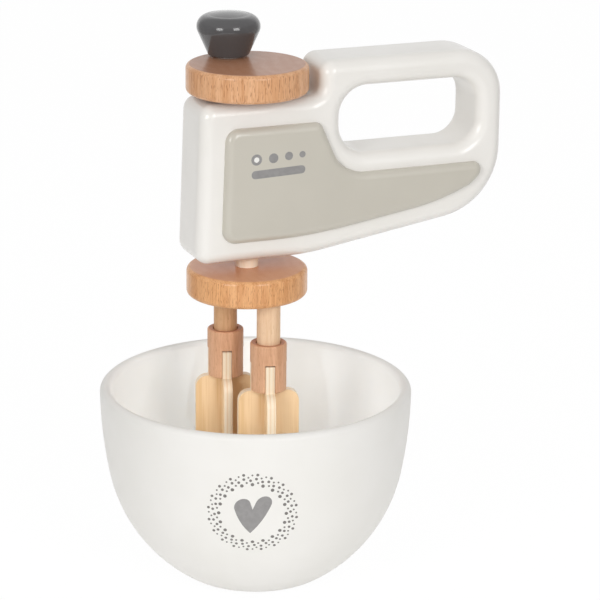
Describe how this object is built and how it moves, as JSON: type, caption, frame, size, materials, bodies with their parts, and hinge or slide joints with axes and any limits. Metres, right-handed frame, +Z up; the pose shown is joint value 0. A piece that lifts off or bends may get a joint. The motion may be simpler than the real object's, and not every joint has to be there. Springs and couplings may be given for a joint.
{
  "type": "toy hand mixer",
  "caption": "Wooden toy hand mixer in its mixing bowl: turning a knob on the upper disc spins the lower disc and its crossed plywood beaters, under a lacquered body with a grip.",
  "frame": {"origin": "centre of the bowl's flat foot, on the surface that the bowl stands on", "axes": "+Z up; +X from the mixer's nose to its handle; the raised panel is on the -Y side"},
  "size_m": [0.1745, 0.1332, 0.2435],
  "materials": {
    "bowl_white": "matte white lacquer on turned wood",
    "white_lacquer": "satin warm white lacquer on solid wood",
    "greige_lacquer": "satin grey beige lacquer",
    "beech": "clear satin lacquer on turned beech",
    "collar_beech": "clear satin lacquer on pinkish beech",
    "pale_beech": "clear matte lacquer on pale dowel",
    "birch_ply": "clear matte lacquer on birch plywood",
    "slate_gloss": "slate grey gloss lacquer on turned wood",
    "nylon": "plain natural",
    "steel": "zinc plated"
  },
  "bodies": {
    "bowl": {"bowl": "bowl_white"},
    "mixer": {"housing": "white_lacquer", "front_panel": "greige_lacquer"},
    "rotor": {"drive_shaft": "pale_beech", "spacer_sleeve": "pale_beech", "crank_disc": "beech", "crank_washer": "nylon", "beater_disc": "beech", "front_dowel": "pale_beech", "front_collar": "collar_beech", "front_paddle_a": "birch_ply", "front_paddle_b": "birch_ply", "rear_dowel": "pale_beech", "rear_collar": "collar_beech", "rear_paddle_a": "birch_ply", "rear_paddle_b": "birch_ply"},
    "knob": {"knob": "slate_gloss", "knob_screw": "steel", "knob_washer": "nylon"}
  },
  "joints": [
    {"name": "mixer_lift", "type": "slide", "parent": "bowl", "child": "mixer", "axis": [0, 0, 1], "range_m": [0, 0.08]},
    {"name": "crank_spin", "type": "hinge", "parent": "mixer", "child": "rotor", "pos_m": [-0.0036, 0.0014, 0.1766], "axis": [0, 0, 1], "continuous": true},
    {"name": "knob_spin", "type": "hinge", "parent": "rotor", "child": "knob", "pos_m": [-0.00619, 0.01688, 0.2342], "axis": [0, 0, 1], "continuous": true}
  ]
}
